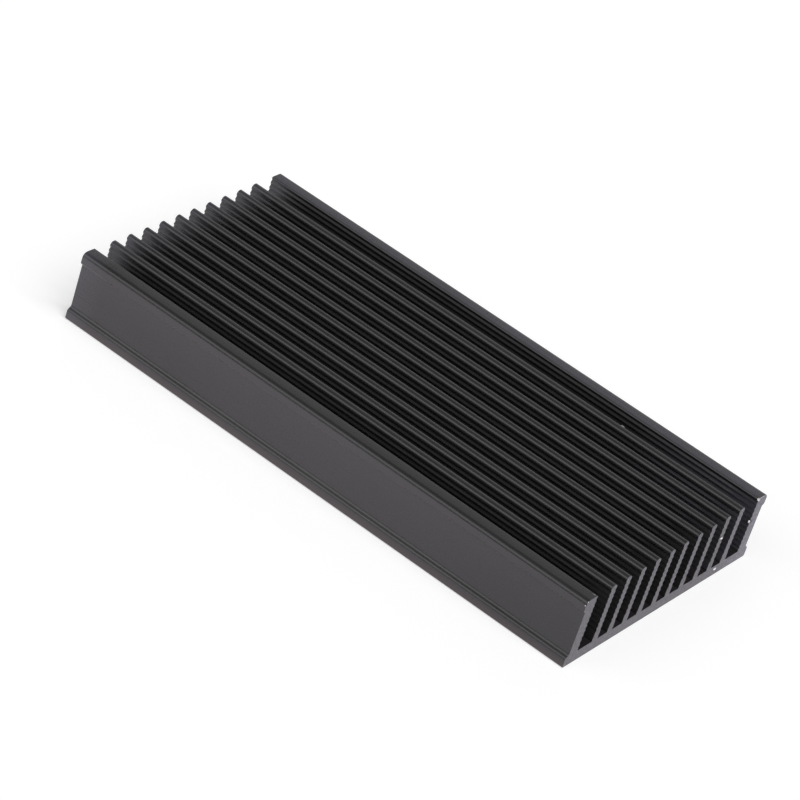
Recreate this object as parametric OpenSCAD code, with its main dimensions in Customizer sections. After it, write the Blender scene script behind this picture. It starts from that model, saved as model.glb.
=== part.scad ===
// Extruded aluminium heat sink: a flat base, a row of grooved fins and two side walls,
// cut to length from one bar. The section lies across Y and Z and runs along X.
// Origin: middle of the underside. Millimetres, +Z up.

/* [Bar] */
// Cut length of the bar, along X
length = 120; // [20:1:300]
// Width over the two bottom flanges, along Y
width = 60.2; // [40:0.1:160]
// Height from the underside to the fin tips and wall tops
height = 14.8; // [9:0.1:40]
// Thickness of the base under the fins
base_t = 2.4; // [1.6:0.1:6]

/* [Fins] */
// Thickness of a fin between its grooves
fin_t = 1.65; // [1.3:0.05:3]
// Thickness of the outermost fin on each side
outer_fin_t = 1.8; // [1.3:0.05:3]
// Spacing of the fins on each half
fin_pitch = 4.72; // [4.2:0.02:9]
// Spacing of the two fins beside the middle line
middle_pitch = 4.46; // [4.2:0.02:9]
// Radius of the two corners of a fin tip, at most half its thickness
fin_tip_r = 0.8; // [0.1:0.05:0.8]

/* [Grooves] */
// Spacing of the grooves up a fin
groove_pitch = 1.09; // [0.9:0.01:1.5]
// Flat crest left between two grooves
groove_crest = 0.14; // [0.05:0.01:0.3]
// Slope of a groove's two flanks, in degrees from the fin's face
groove_slope = 30; // [20:1:35]
// Radius of a groove's round bottom
groove_bottom_r = 0.35; // [0.1:0.05:0.45]
// Plain height between a fin's tip and its highest groove
tip_land = 0.82; // [0.7:0.01:2]

/* [Side walls] */
// Thickness of a side wall between its grooves
wall_t = 2.78; // [2:0.02:6]
// Radius of a wall's inner top edge
wall_edge_r = 0.4; // [0.1:0.05:0.5]
// How far the top lip stands out from the wall's outer face
lip_out = 0.6; // [0.2:0.05:0.8]
// Height of the lip's outer face, with its rounded top edge
lip_h = 2.1; // [1.4:0.1:3]
// Radius of the lip's outer top edge
lip_edge_r = 1.1; // [0.2:0.05:1.3]
// Radius of the lip's lower edge
lip_foot_r = 0.45; // [0.4:0.05:0.8]
// Radius of the cove under the lip
cove_r = 0.5; // [0.4:0.05:1]

/* [Bottom flanges] */
// How far a flange stands out from the wall's outer face
flange_out = 0.9; // [0.4:0.05:1.2]
// Height at which the flange's hollow meets the wall's outer face
flange_h = 3.05; // [2.6:0.05:5]
// Radius of the hollow between a flange and its wall
hollow_r = 0.8; // [0.7:0.05:1.1]
// Radius of the shoulder between the hollow and the flange's edge
shoulder_r = 0.7; // [0.5:0.05:0.9]
// Radius of the bottom outer edge
foot_r = 0.4; // [0.1:0.05:0.6]

/* [Hidden] */
$fn = 48;
anodised_black = [0.13, 0.13, 0.14];

half_width = width / 2;
wall_face = half_width - flange_out;
wall_inner = wall_face - wall_t;

// Fins on each half: as many as leave the end channel no narrower than the others
first_fin = middle_pitch / 2;
channel_w = fin_pitch - fin_t;
fin_room = wall_inner - channel_w - outer_fin_t / 2 - first_fin;
fins_per_half = floor(fin_room / fin_pitch) + 1;

// A groove's flanks run down to where they touch its round bottom, and a little out of the face
groove_w = groove_pitch - groove_crest;
groove_depth = groove_w / 2 * tan(groove_slope) - groove_bottom_r * (1 / cos(groove_slope) - 1);
bottom_w = groove_bottom_r * sin(groove_slope);
flank_depth = groove_depth - groove_bottom_r * (1 - cos(groove_slope));
rim = 0.02;
rim_w = groove_w / 2 + rim / tan(groove_slope);

// Fin grooves run from the tip down to a plain root at least one and a half spacings high
fin_groove_top = height - tip_land - groove_w / 2;
fin_root = base_t + 1.5 * groove_pitch;
fin_grooves = floor((fin_groove_top - groove_w / 2 - fin_root) / groove_pitch) + 1;

// Wall grooves sit half a spacing off, facing the fins' crests: one more above the base and,
// where there is room under the wall's top edge, one more there
top_room = tip_land > groove_pitch / 2 + 0.1;
wall_groove_top = fin_groove_top + groove_pitch / 2 - (top_room ? 0 : groove_pitch);
wall_grooves = fin_grooves + (top_room ? 2 : 1);

// Under the lip, the rounded lower edge and the cove touch and turn by the same angle
lip_face = wall_face + lip_out;
lip_bottom = height - lip_h;
lip_turn = acos(1 - lip_out / (lip_foot_r + cove_r));
cove_bottom = lip_bottom - (lip_foot_r + cove_r) * sin(lip_turn);
lip_touch = [
    lip_face - lip_foot_r * (1 - cos(lip_turn)),
    lip_bottom - lip_foot_r * sin(lip_turn)
];

// On the flange, the hollow and the shoulder touch and turn by the same angle
flange_turn = acos(1 - flange_out / (hollow_r + shoulder_r));
edge_top = flange_h - (hollow_r + shoulder_r) * sin(flange_turn);
flange_touch = [
    wall_face + hollow_r * (1 - cos(flange_turn)),
    flange_h - hollow_r * sin(flange_turn)
];

// Column of grooves in a face at y, opening towards +Y (side 1) or -Y (side -1)
module grooves(y, side, top, count) {
    for (i = [0 : count - 1])
        translate([y, top - i * groove_pitch]) {
            polygon([
                [side * rim, rim_w],
                [-side * flank_depth, bottom_w],
                [-side * flank_depth, -bottom_w],
                [side * rim, -rim_w]
            ]);
            translate([side * (groove_bottom_r - groove_depth), 0]) circle(r = groove_bottom_r);
        }
}

// Section of one fin of thickness t, centred on y = 0, from the underside up to its rounded tip
module fin_section(t) {
    tip_r = min(fin_tip_r, t / 2 - 0.02);
    inner = t / 2 - tip_r;
    difference() {
        union() {
            translate([-t / 2, 0]) square([t, height - tip_r]);
            translate([-inner, 0]) square([2 * inner, height]);
            for (side = [-1, 1])
                translate([side * inner, height - tip_r]) circle(r = tip_r);
        }
        for (side = [-1, 1]) grooves(side * t / 2, side, fin_groove_top, fin_grooves);
    }
}

// Section of the bottom flange on the +Y side
module flange_section() {
    difference() {
        union() {
            polygon([
                [wall_inner, 0],
                [half_width - foot_r, 0],
                [half_width, foot_r],
                [half_width, edge_top],
                flange_touch,
                [wall_face, flange_h],
                [wall_inner, flange_h]
            ]);
            translate([half_width - foot_r, foot_r]) circle(r = foot_r);
            translate([half_width - shoulder_r, edge_top]) circle(r = shoulder_r);
        }
        translate([wall_face + hollow_r, flange_h]) circle(r = hollow_r);
    }
}

// Section of the +Y side wall: plate, top lip and the cove under the lip
module wall_section() {
    difference() {
        union() {
            translate([wall_inner, 0]) square([wall_t, lip_bottom]);
            polygon([
                [wall_inner, cove_bottom],
                [wall_face, cove_bottom],
                lip_touch,
                [lip_face, lip_bottom],
                [lip_face, height - lip_edge_r],
                [lip_face - lip_edge_r, height],
                [wall_inner + wall_edge_r, height],
                [wall_inner, height - wall_edge_r]
            ]);
            translate([wall_inner + wall_edge_r, height - wall_edge_r]) circle(r = wall_edge_r);
            translate([lip_face - lip_edge_r, height - lip_edge_r]) circle(r = lip_edge_r);
            translate([lip_face - lip_foot_r, lip_bottom]) circle(r = lip_foot_r);
        }
        translate([wall_face + cove_r, cove_bottom]) circle(r = cove_r);
        grooves(wall_inner, -1, wall_groove_top, wall_grooves);
    }
}

// Whole section, with Y across and Z up
module bar_section() {
    translate([-wall_inner, 0]) square([2 * wall_inner, base_t]);
    for (side = [0, 1])
        mirror([side, 0]) {
            flange_section();
            wall_section();
            for (i = [0 : fins_per_half - 1])
                translate([first_fin + i * fin_pitch, 0])
                    fin_section(i == fins_per_half - 1 ? outer_fin_t : fin_t);
        }
}

module heat_sink() {
    color(anodised_black)
        translate([-length / 2, 0, 0])
            rotate([90, 0, 90])
                linear_extrude(height = length) bar_section();
}

heat_sink();
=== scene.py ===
# Dresses the extruded heat sink: black anodised skin, saw-cut ends, broken edges and small nicks,
# on a plain pale floor in soft studio light. Places and sizes are in millimetres.
import math
import random

import bmesh
import bpy
from mathutils import Matrix, Quaternion, Vector


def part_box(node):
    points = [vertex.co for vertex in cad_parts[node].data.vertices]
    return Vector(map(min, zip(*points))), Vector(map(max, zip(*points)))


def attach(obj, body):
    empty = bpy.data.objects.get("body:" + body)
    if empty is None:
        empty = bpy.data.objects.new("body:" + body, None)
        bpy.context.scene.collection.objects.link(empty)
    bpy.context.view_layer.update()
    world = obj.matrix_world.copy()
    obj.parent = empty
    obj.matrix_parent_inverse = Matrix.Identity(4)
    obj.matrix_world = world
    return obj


MM = 0.001

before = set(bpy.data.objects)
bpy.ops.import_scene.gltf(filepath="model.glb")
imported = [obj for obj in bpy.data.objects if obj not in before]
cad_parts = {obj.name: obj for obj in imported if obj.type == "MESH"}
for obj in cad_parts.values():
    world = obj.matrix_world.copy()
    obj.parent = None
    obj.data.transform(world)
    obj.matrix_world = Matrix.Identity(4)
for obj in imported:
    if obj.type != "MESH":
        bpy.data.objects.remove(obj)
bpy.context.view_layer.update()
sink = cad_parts["heat_sink"]

# The bar's half length, half width and height from model.glb, and its section as it is drawn
HALF_LENGTH, HALF_WIDTH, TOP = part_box("heat_sink")[1] / MM
BASE_T = 2.4
WALL_T = 2.78
FLANGE_OUT = 0.9
WALL_FACE = HALF_WIDTH - FLANGE_OUT
WALL_INNER = WALL_FACE - WALL_T

# Zones of the skin: where each starts and where it is full
CUT_END = (HALF_LENGTH - 0.03, HALF_LENGTH - 0.01)
# Where light is painted across the cut ends, paler towards +Y
CUT_LIGHT_ACROSS = (18.0, 28.0)
# Where light is painted on top of the +Y wall, across and up, and towards the -X end
PAINTED_LIGHT_WALL = (WALL_INNER - 0.22, WALL_INNER + 0.48)
PAINTED_LIGHT_TOP = (TOP - 0.5, TOP - 0.2)
PAINTED_LIGHT_BACK = (6.0 - HALF_LENGTH, -HALF_LENGTH)
FLANGE_EDGE = (WALL_FACE, WALL_FACE + 0.4)
FOOT = (1.6, 0.6)
# Where light is painted in the hollows above the flanges, and how it fades along X
HOLLOW_SIDE = (WALL_FACE, WALL_FACE + 0.1)
HOLLOW_FOOT = (1.8, 2.0)
HOLLOW_TOP = (2.9, 2.7)
HOLLOW_FADE = (15.0, 45.0)
# Where the depth of the channels lies, whose duller gloss is painted shade
END_CHANNEL = (WALL_INNER - 2.42, WALL_INNER - 1.42)
WALL_DEPTH = (TOP - 0.8, TOP - 1.0)
FIN_DEPTH = (TOP - 1.2, TOP - 1.4)
BETWEEN_WALLS = (WALL_INNER + 0.48, WALL_INNER + 0.28)
DEPTH_BACK = (3.0 - HALF_LENGTH, 10.0 - HALF_LENGTH)
ABOVE_BASE = (BASE_T + 0.1, BASE_T + 0.4)
# Where light is painted on the channels' sides at the front, most of all in the +Y corner
FRONT = (HALF_LENGTH - 6.0, HALF_LENGTH - 2.0)
CORNER_ALONG = (HALF_LENGTH - 28.0, HALF_LENGTH)
CORNER_ACROSS = (6.5, 26.5)

# Linear colours: the skin, its zones in the order in which they are laid over it, the cut ends, the wear,
# and the painted shadow of small dents beside it
SKIN = (0.0212, 0.0195, 0.0212, 1.0)
ZONE_COLOURS = {
    "foot": (0.037, 0.022, 0.0225, 1.0),
    # painted light in the hollows above the flanges
    "hollow": (0.048, 0.047, 0.048, 1.0),
    # painted light on top of the +Y wall and at the -X end
    "pale": (0.051, 0.0505, 0.061, 1.0),
    # painted light on the channels' sides at the front
    "front_painted_light": (0.03, 0.0295, 0.03, 1.0),
    # painted light in the +Y corner of the channels at the front
    "corner_painted_light": (0.0705, 0.0685, 0.0815, 1.0),
}
CUT = (0.0985, 0.0975, 0.111, 1.0)
# The cut ends' colour with painted light, laid on towards +Y
CUT_PAINTED_LIGHT = (0.163, 0.159, 0.192, 1.0)
BARE_METAL = (0.91, 0.91, 0.92, 1.0)
DENT_SHADOW_DARK = (0.05, 0.05, 0.054, 1.0)

# Finish of the skin: gloss on the outside and in the channels, ranges of roughness, depth of its relief, and
# the share of the grooves' slope that still shows at the front of the channels
SKIN_IOR = 1.7
GLOSS = 0.5
# The lower gloss in the channels stands in for the shade there
GLOSS_DEEP = 0.12
LINE_ROUGH = (0.26, 0.32)
GRAIN_ROUGH = (-0.03, 0.03)
CUT_ROUGH = (0.42, 0.55)
RELIEF = 0.004
FRONT_SLOPE = 0.15

# Fine lines and broad streaks run along X: how much shorter the texture's X is than the real one
LINE_STRETCH = (0.004, 1.0, 1.0)
STREAK_STRETCH = (0.012, 1.0, 1.0)

# Shape: width of the broken edges, and the angles that tell flats, smooth arcs and cut edges apart
EDGE_BREAK = 0.04
WELD_GAP = 0.001
FLAT_ANGLE = math.radians(0.5)
SMOOTH_ANGLE = math.radians(20)
CUT_ANGLE = math.radians(80)

# Burrs: seed of the first one, and the range of its points' distance from the middle
BURR_SEED = 7
BURR_UNEVEN = (0.8, 1.15)

# Floor: how far it reaches, how far it lies under the part, and the places where its reflected glow changes
FLOOR_REACH = 4000.0
FLOOR_DROP = 0.02
NEAR_FLOOR = (5.1 - HALF_WIDTH, -0.9 - HALF_WIDTH)
GLOW_EDGE = (-3.9 - HALF_WIDTH, -1.4 - HALF_WIDTH)
GLOW_OUT = (-8.9 - HALF_WIDTH, -17.9 - HALF_WIDTH)
GLOW_ALONG = (0.0, HALF_LENGTH - 5.0)
FLOOR_GREY = (0.65, 0.65, 0.65, 1.0)
FLOOR_GLOW = 0.5
WHITE = (1.0, 1.0, 1.0, 1.0)
GLOW_TINT = (1.0, 0.9, 1.0, 1.0)

# Light: long soft boxes along X, each with its angle up from the -Y horizon, the half angles where it is
# full and where it ends, and its strength; where their two ends lie in the sky's X; an even base level; and
# one soft lamp
SOFT_BOXES = [(41, 11, 26, 1.05), (160, 15, 55, 0.23), (172, 8, 24, 0.26)]
BOX_FRONT = (0.25, -0.1)
BOX_BACK = (-0.9, -0.65)
BASE_LIGHT = 0.105
LAMP_FROM = (0.6, -0.2, 0.77)
LAMP_STRENGTH = 2.2
LAMP_SPREAD = math.radians(50)

# Camera as in the photograph: its place, the point that it looks at, its roll and its lens
CAMERA_AT = (273.035, -516.321, 373.685)
CAMERA_AIM = (-2.488, -1.264, TOP / 2)
CAMERA_ROLL = math.radians(18.431)
LENS = 167.159
SENSOR = 36.0


class Tree:
    """Short calls that add nodes to one tree: add returns the new node, the others an output of it."""

    def __init__(self, tree):
        self.tree = tree
        tree.nodes.clear()

    def add(self, kind, sockets=(), **settings):
        made = self.tree.nodes.new(kind)
        for name, value in settings.items():
            setattr(made, name, value)
        for key, value in dict(sockets).items():
            if isinstance(value, bpy.types.NodeSocket):
                self.tree.links.new(value, made.inputs[key])
            elif value is not None:
                made.inputs[key].default_value = value
        return made

    def math(self, operation, a, b=None):
        return self.add("ShaderNodeMath", {0: a, 1: b}, operation=operation).outputs[0]

    def product(self, first, *others):
        for other in others:
            first = self.math("MULTIPLY", first, other)
        return first

    def total(self, first, *others):
        for other in others:
            first = self.math("ADD", first, other)
        return first

    def scaled(self, vector, factors):
        sockets = {0: vector, 1: factors}
        return self.add("ShaderNodeVectorMath", sockets, operation="MULTIPLY").outputs[0]

    def place(self):
        """The shaded point in the piece's own frame, in millimetres."""
        return self.scaled(self.add("ShaderNodeTexCoord").outputs["Object"], (1 / MM,) * 3)

    def parts(self, vector):
        return self.add("ShaderNodeSeparateXYZ", {0: vector}).outputs

    def vector(self, x, y, z):
        return self.add("ShaderNodeCombineXYZ", {0: x, 1: y, 2: z}).outputs[0]

    def noise(self, vector, scale, detail, rough):
        sockets = {"Vector": vector, "Scale": scale, "Detail": detail, "Roughness": rough}
        return self.add("ShaderNodeTexNoise", sockets).outputs[0]

    def span(self, value, low, high, to_low=0.0, to_high=1.0, smooth=False):
        sockets = {"Value": value, "From Min": low, "From Max": high, "To Min": to_low, "To Max": to_high}
        kind = "SMOOTHSTEP" if smooth else "LINEAR"
        return self.add("ShaderNodeMapRange", sockets, interpolation_type=kind).outputs[0]

    def spread(self, noise, to_low, to_high):
        """Noise, which lies mostly between 0.3 and 0.7, spread over a range."""
        return self.span(noise, 0.3, 0.7, to_low, to_high)

    def mix(self, factor, a, b):
        sockets = {0: factor, 2: a, 3: b}
        return self.add("ShaderNodeMix", sockets, data_type="FLOAT").outputs[0]

    def blend(self, factor, a, b, how="MIX"):
        sockets = {0: factor, 6: a, 7: b}
        return self.add("ShaderNodeMix", sockets, data_type="RGBA", blend_type=how).outputs[2]

    def bump(self, height, distance, normal):
        sockets = {"Height": height, "Distance": distance, "Strength": 1.0, "Normal": normal}
        return self.add("ShaderNodeBump", sockets).outputs[0]

    def surface(self, sockets):
        shader = self.add("ShaderNodeBsdfPrincipled", sockets).outputs[0]
        self.add("ShaderNodeOutputMaterial", {0: shader})


def new_material(name):
    made = bpy.data.materials.new(name)
    made.use_nodes = True
    return made, Tree(made.node_tree)


# Where the skin differs from place to place, each zone from 0 to 1
def skin_zones(t, x, y, z):
    zone = {}
    aside = t.math("ABSOLUTE", y)
    zone["cut"] = t.span(t.math("ABSOLUTE", x), *CUT_END)
    zone["pale_end"] = t.span(y, *CUT_LIGHT_ACROSS)

    # Painted light on top of the +Y wall and towards the -X end, which makes them paler
    lit_wall_top = t.product(t.span(y, *PAINTED_LIGHT_WALL, smooth=True), t.span(z, *PAINTED_LIGHT_TOP, smooth=True))
    zone["pale"] = t.math("MAXIMUM", lit_wall_top, t.span(x, *PAINTED_LIGHT_BACK))

    # Warmer at the flanges' bottom edges, and painted light in the hollows above, which makes them paler,
    # least at the +X end
    zone["foot"] = t.product(t.span(z, *FOOT, smooth=True), t.span(aside, *FLANGE_EDGE))
    hollow = t.product(t.span(aside, *HOLLOW_SIDE), t.span(z, *HOLLOW_FOOT), t.span(z, *HOLLOW_TOP))
    zone["hollow"] = t.product(hollow, t.span(x, *HOLLOW_FADE, 1.0, 0.4))

    # Duller in the depth of the channels, a painted shade in the gloss, which starts higher beside the
    # walls, but not at the -X end
    by_wall = t.product(t.span(aside, *END_CHANNEL), t.span(z, *WALL_DEPTH, 0.0, 0.75))
    deep = t.math("MAXIMUM", by_wall, t.span(z, *FIN_DEPTH))
    deep = t.product(deep, t.span(aside, *BETWEEN_WALLS), t.math("SUBTRACT", 1.0, zone["cut"]))
    zone["deep"] = t.product(deep, t.span(x, *DEPTH_BACK))

    # Painted light makes the channels' sides a little paler at the front, most of all in its +Y corner
    sides = t.product(zone["deep"], t.span(z, *ABOVE_BASE))
    zone["front_painted_light"] = t.product(sides, t.span(x, *FRONT))
    zone["corner_painted_light"] = t.product(sides, t.span(x, *CORNER_ALONG), t.span(y, *CORNER_ACROSS))
    return zone


# Marks that a saw leaves on a cut end, nearly upright and a little slanted
def saw_marks(t, x, y, z):
    across = t.total(t.product(y, 0.96), t.product(z, 0.28))
    return t.noise(t.vector(across, t.product(z, 0.03), x), scale=3.2, detail=3.0, rough=0.7)


# Normal with the grooves' slopes laid flatter in a zone
def flatter_normal(t, zone):
    slope = t.span(zone, 0.0, 1.0, 1.0, FRONT_SLOPE)
    laid = t.scaled(t.add("ShaderNodeTexCoord").outputs["Normal"], t.vector(1.0, 1.0, slope))
    ways = {"vector_type": "NORMAL", "convert_from": "OBJECT", "convert_to": "WORLD"}
    return t.add("ShaderNodeVectorTransform", {0: laid}, **ways).outputs[0]


# Black anodised skin with extrusion lines along X; the two cut ends are lighter and carry saw marks
def anodised_skin():
    made, t = new_material("black_anodised")
    at = t.place()
    x, y, z = t.parts(at)
    zone = skin_zones(t, x, y, z)

    mottle = t.noise(at, scale=0.11, detail=4.0, rough=0.6)
    grain = t.noise(at, scale=7.0, detail=2.0, rough=0.6)
    blotch = t.noise(at, scale=1.5, detail=3.0, rough=0.65)
    lines = t.noise(t.scaled(at, LINE_STRETCH), scale=5.5, detail=3.0, rough=0.65)
    streaks = t.noise(t.scaled(at, STREAK_STRETCH), scale=0.9, detail=2.0, rough=0.5)
    saw = saw_marks(t, x, y, z)

    skin = SKIN
    for name, colour in ZONE_COLOURS.items():
        skin = t.blend(zone[name], skin, colour)
    tone = t.total(t.spread(mottle, 0.9, 1.1), t.spread(streaks, -0.04, 0.04))
    skin = t.blend(1.0, skin, tone, "MULTIPLY")
    rough = t.total(t.spread(lines, *LINE_ROUGH), t.spread(grain, *GRAIN_ROUGH))
    height = t.total(t.product(lines, 0.4), t.product(grain, 0.3))

    # Painted light makes the cut ends paler towards +Y
    cut = t.blend(zone["pale_end"], CUT, CUT_PAINTED_LIGHT)
    cut_tone = t.total(t.spread(saw, 0.9, 1.1), t.spread(blotch, -0.45, 0.45))
    cut = t.blend(1.0, cut, cut_tone, "MULTIPLY")
    cut_rough = t.spread(saw, *CUT_ROUGH)
    cut_height = t.total(t.product(saw, 5.0), t.product(blotch, 10.0))

    relief = t.mix(zone["cut"], height, cut_height)
    t.surface({
        "Base Color": t.blend(zone["cut"], skin, cut),
        "Roughness": t.mix(zone["cut"], rough, cut_rough),
        "IOR": SKIN_IOR,
        # the lower gloss deep in the channels is painted shade
        "Specular IOR Level": t.mix(zone["deep"], GLOSS, GLOSS_DEEP),
        "Normal": t.bump(relief, RELIEF * MM, flatter_normal(t, zone["front_painted_light"])),
    })
    return made


# Sharp edges stay sharp and arcs read as smooth, from the angle between two faces
def shade_group(angle):
    group = bpy.data.node_groups.new("shade_by_angle", "GeometryNodeTree")
    group.interface.new_socket("Geometry", in_out="INPUT", socket_type="NodeSocketGeometry")
    group.interface.new_socket("Geometry", in_out="OUTPUT", socket_type="NodeSocketGeometry")
    t = Tree(group)
    shape = t.add("NodeGroupInput").outputs[0]
    bare = t.add("GeometryNodeRemoveAttribute", {"Geometry": shape, "Name": "custom_normal"}).outputs[0]
    faces = t.add("GeometryNodeSetShadeSmooth", {"Geometry": bare, "Shade Smooth": True}, domain="FACE")
    bend = t.add("GeometryNodeInputMeshEdgeAngle").outputs[0]
    soft = t.add("FunctionNodeCompare", {0: bend, 1: angle}, data_type="FLOAT", operation="LESS_THAN")
    edges = {"Geometry": faces.outputs[0], "Shade Smooth": soft.outputs[0]}
    done = t.add("GeometryNodeSetShadeSmooth", edges, domain="EDGE")
    t.add("NodeGroupOutput", {0: done.outputs[0]})
    return group


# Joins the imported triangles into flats, breaks the cut edges at both ends and sets the shading
def finish_shape():
    weld = sink.modifiers.new("joined", "WELD")
    weld.merge_threshold = WELD_GAP * MM
    flats = sink.modifiers.new("flats", "DECIMATE")
    flats.decimate_type = "DISSOLVE"
    flats.angle_limit = FLAT_ANGLE
    edges = sink.modifiers.new("broken_edges", "BEVEL")
    edges.limit_method = "ANGLE"
    edges.angle_limit = CUT_ANGLE
    edges.width = EDGE_BREAK * MM
    edges.segments = 2
    edges.use_clamp_overlap = False
    shade = sink.modifiers.new("shade", "NODES")
    shade.node_group = shade_group(SMOOTH_ANGLE)


finish_shape()
sink.data.materials.clear()
sink.data.materials.append(anodised_skin())


# Plain grainy material: bare metal where the skin is knocked off, or a painted shadow of a small dent beside
# it
def grainy(name, colour, metallic, rough_low, rough_high):
    made, t = new_material(name)
    grain = t.noise(t.place(), scale=9.0, detail=2.0, rough=0.6)
    t.surface({
        "Base Color": colour,
        "Metallic": metallic,
        "Roughness": t.spread(grain, rough_low, rough_high),
    })
    return made


# Small uneven burrs half sunk in the surface: place, half sizes and turn about X of each
def burrs(name, material, rows):
    shape = bmesh.new()
    for number, (place, half, turn) in enumerate(rows):
        chance = random.Random(BURR_SEED + number)
        lump = bmesh.ops.create_icosphere(shape, subdivisions=2, radius=1.0)["verts"]
        lean = Matrix.Rotation(math.radians(turn), 3, "X")
        for vert in lump:
            uneven = vert.co * chance.uniform(*BURR_UNEVEN)
            sized = Vector((uneven.x * half[0], uneven.y * half[1], uneven.z * half[2]))
            vert.co = (lean @ sized + Vector(place)) * MM
    mesh = bpy.data.meshes.new(name)
    shape.to_mesh(mesh)
    shape.free()
    mesh.materials.append(material)
    piece = bpy.data.objects.new(name, mesh)
    bpy.context.scene.collection.objects.link(piece)
    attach(piece, "root")


burrs("nicks", grainy("bare_aluminium", BARE_METAL, 1.0, 0.3, 0.45), [
    # Inner corner and top edge of the +Y wall, and its inner face lower down
    ((HALF_LENGTH, WALL_INNER + 0.06, TOP - 0.14), (0.3, 0.36, 0.32), 0),
    ((HALF_LENGTH, WALL_INNER + 1.3, TOP - 0.04), (0.04, 0.95, 0.07), 0),
    ((HALF_LENGTH - 0.1, WALL_INNER - 0.13, 9.5), (0.14, 0.28, 0.32), 0),
    # Cut end of a fin, and the base
    ((HALF_LENGTH, 16.6, 9.66), (0.12, 0.42, 0.26), -20),
    ((HALF_LENGTH, 18.82, 1.65), (0.3, 0.38, 0.34), 0),
    # Lip and inner top edge of the -Y wall
    ((HALF_LENGTH - 0.16, 0.27 - HALF_WIDTH, TOP - 0.93), (0.1, 0.035, 0.13), 0),
    ((HALF_LENGTH, 0.66 - HALF_WIDTH, TOP - 0.22), (0.04, 0.17, 0.06), 40),
    ((HALF_LENGTH - 0.6, -0.53 - WALL_INNER, TOP - 0.02), (0.45, 0.07, 0.04), 0),
    # Tip of the outermost fin, part of the way along
    ((31.42, 21.8, TOP - 0.23), (0.45, 0.16, 0.13), 0),
])
burrs("dent_shadows", grainy("dent_shadow", DENT_SHADOW_DARK, 0.0, 0.5, 0.7), [
    # Dark lumps that paint the shadow of small dents beside the nicks on the fin, on the +Y wall and on the
    # base
    ((HALF_LENGTH, 16.18, 10.24), (0.04, 0.22, 0.12), -35),
    ((HALF_LENGTH, WALL_INNER + 0.66, 9.3), (0.04, 0.2, 0.5), 0),
    ((HALF_LENGTH, 19.72, 0.84), (0.04, 0.34, 0.14), 41),
])


# Floor: matt, with a glow that only the camera and reflections see, so that it reads as white
def make_floor():
    mesh = bpy.data.meshes.new("floor")
    r = FLOOR_REACH * MM
    mesh.from_pydata([(-r, -r, 0), (r, -r, 0), (r, r, 0), (-r, r, 0)], [], [(0, 1, 2, 3)])
    floor = bpy.data.objects.new("floor", mesh)
    bpy.context.scene.collection.objects.link(floor)
    floor.location.z = -FLOOR_DROP * MM
    made, t = new_material("floor")
    path = t.add("ShaderNodeLightPath").outputs
    x, y, _ = t.parts(t.place())

    # The glow that the near side reflects is painted light and a painted shadow: brighter close to it and
    # far out, and weaker towards +X
    by_y = t.total(t.span(y, *GLOW_OUT, 0.4, 0.6, smooth=True), t.span(y, *GLOW_EDGE, 0.0, 0.2, smooth=True))
    by_x = t.span(x, *GLOW_ALONG, 0.0, -0.12, smooth=True)
    mirrored = t.mix(t.span(y, *NEAR_FLOOR), FLOOR_GLOW, t.total(by_y, by_x))
    seen = t.math("MAXIMUM", path["Is Glossy Ray"], path["Is Transmission Ray"])
    direct = t.product(path["Is Camera Ray"], FLOOR_GLOW)
    strength = t.math("MAXIMUM", direct, t.product(seen, mirrored))
    tint = t.blend(path["Is Camera Ray"], GLOW_TINT, WHITE)

    matt = t.add("ShaderNodeBsdfDiffuse", {"Color": FLOOR_GREY}).outputs[0]
    glow = t.add("ShaderNodeEmission", {"Color": tint, "Strength": strength}).outputs[0]
    both = t.add("ShaderNodeAddShader", {0: matt, 1: glow}).outputs[0]
    t.add("ShaderNodeOutputMaterial", {0: both})
    mesh.materials.append(made)


# World: the soft boxes and the base level
def make_sky():
    world = bpy.data.worlds.new("studio")
    bpy.context.scene.world = world
    world.use_nodes = True
    t = Tree(world.node_tree)
    x, y, z = t.parts(t.add("ShaderNodeTexCoord").outputs["Generated"])
    across = t.math("SQRT", t.math("SUBTRACT", 1.0001, t.product(x, x)))
    side = t.product(t.span(x, *BOX_FRONT, smooth=True), t.span(x, *BOX_BACK, smooth=True))

    strength = BASE_LIGHT
    for angle, full, end, level in SOFT_BOXES:
        turn = math.radians(angle)
        towards = t.total(t.product(y, -math.cos(turn)), t.product(z, math.sin(turn)))
        near = t.math("DIVIDE", towards, across)
        box = t.span(near, math.cos(math.radians(end)), math.cos(math.radians(full)), smooth=True)
        strength = t.total(t.product(box, side, level), strength)
    sky = t.add("ShaderNodeBackground", {"Color": WHITE, "Strength": strength}).outputs[0]
    t.add("ShaderNodeOutputWorld", {0: sky})


def make_lamp():
    data = bpy.data.lights.new("softbox", "SUN")
    data.energy = LAMP_STRENGTH
    data.angle = LAMP_SPREAD
    lamp = bpy.data.objects.new("softbox", data)
    bpy.context.scene.collection.objects.link(lamp)
    lamp.rotation_mode = "QUATERNION"
    lamp.rotation_quaternion = Vector(LAMP_FROM).to_track_quat("Z", "Y")


def make_camera():
    data = bpy.data.cameras.new("camera")
    data.sensor_width = SENSOR
    data.lens = LENS
    camera = bpy.data.objects.new("camera", data)
    bpy.context.scene.collection.objects.link(camera)
    place = Vector(CAMERA_AT) * MM
    ahead = Vector(CAMERA_AIM) * MM - place
    turn = ahead.to_track_quat("-Z", "Y") @ Quaternion((0, 0, 1), CAMERA_ROLL)
    camera.matrix_world = Matrix.Translation(place) @ turn.to_matrix().to_4x4()
    bpy.context.scene.camera = camera


make_floor()
make_sky()
make_lamp()
make_camera()
bpy.context.scene.view_settings.view_transform = "Standard"
